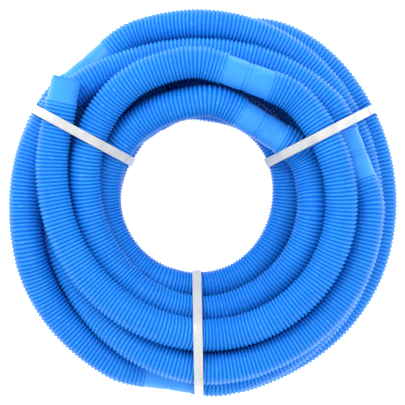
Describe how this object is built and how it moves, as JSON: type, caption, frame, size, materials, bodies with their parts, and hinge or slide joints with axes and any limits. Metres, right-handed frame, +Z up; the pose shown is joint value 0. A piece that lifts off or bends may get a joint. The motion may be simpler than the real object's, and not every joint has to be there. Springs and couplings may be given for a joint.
{
  "type": "pool vacuum hose",
  "caption": "Corrugated pool vacuum hose with smooth cuffs, wound into a flat round coil and held by straps.",
  "frame": {"origin": "on the floor, under the middle of the coil's footprint", "axes": "+Z up out of the coil's face, +Y towards the side that the free end points to"},
  "size_m": [0.5564, 0.5554, 0.1976],
  "materials": {
    "hose": "semi-gloss moulded polyethylene, blue",
    "cuff": "smooth semi-gloss moulded EVA, blue",
    "strap": "white polypropylene strapping with a fine embossed grain"
  },
  "bodies": {
    "root": {"hose_run_01": "hose", "hose_run_02": "hose", "hose_run_03": "hose", "hose_run_04": "hose", "hose_run_05": "hose", "hose_run_06": "hose", "hose_run_07": "hose", "hose_run_08": "hose", "hose_run_09": "hose", "hose_run_10": "hose", "hose_run_11": "hose", "hose_run_12": "hose", "cuff_pair_01": "cuff", "cuff_pair_02": "cuff", "cuff_pair_03": "cuff", "cuff_pair_04": "cuff", "cuff_pair_05": "cuff", "cuff_pair_06": "cuff", "cuff_pair_07": "cuff", "cuff_pair_08": "cuff", "cuff_pair_09": "cuff", "cuff_pair_10": "cuff", "cuff_pair_11": "cuff", "end_cuff_a": "cuff", "end_cuff_b": "cuff", "strap_1": "strap", "strap_2": "strap", "strap_3": "strap"}
  },
  "joints": []
}
